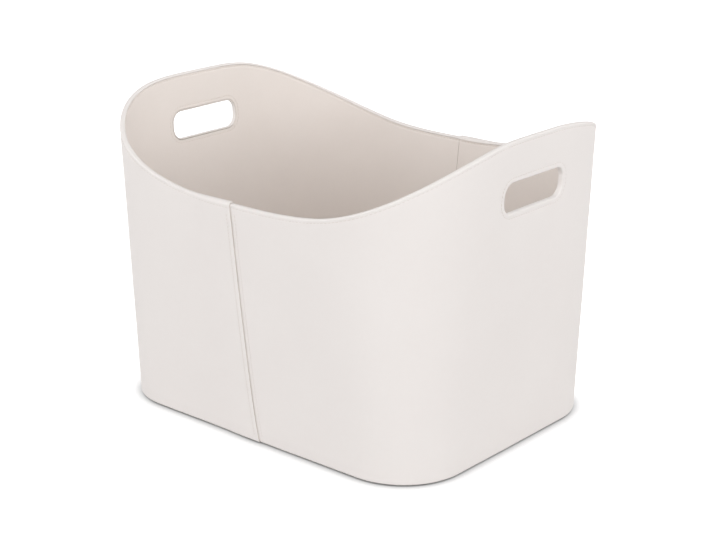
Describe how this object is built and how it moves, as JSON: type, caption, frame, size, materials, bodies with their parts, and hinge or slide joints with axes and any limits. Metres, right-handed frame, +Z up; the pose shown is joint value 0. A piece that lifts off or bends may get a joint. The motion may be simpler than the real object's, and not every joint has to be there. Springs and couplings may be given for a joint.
{
  "type": "kindling box",
  "caption": "Open rounded-rectangle kindling box in smooth faux leather over stiff board, with flared walls, a sweeping rim and a hand slot in each raised end.",
  "frame": {"origin": "centre of the footprint, on the surface that the box stands on", "axes": "+Z up, +X along the long side towards the right end, +Y from the front long side to the back one; the ends with the hand slots face +X and -X"},
  "size_m": [0.4538, 0.359, 0.325],
  "materials": {
    "outer_faux_leather": "smooth cream-white coated faux leather, satin",
    "inner_faux_leather": "smooth cream-white coated faux leather, satin",
    "wall_core_board": "plain grey board",
    "base_hardboard": "plain hardboard",
    "base_felt": "thin needled felt"
  },
  "bodies": {
    "root": {"outer_skin_left": "outer_faux_leather", "outer_skin_right": "outer_faux_leather", "wall_board_left": "wall_core_board", "wall_board_right": "wall_core_board", "wall_lining_left": "inner_faux_leather", "wall_lining_right": "inner_faux_leather", "base_cover": "base_felt", "base_board": "base_hardboard", "floor_panel": "wall_core_board", "floor_panel_cover": "inner_faux_leather"}
  },
  "joints": []
}
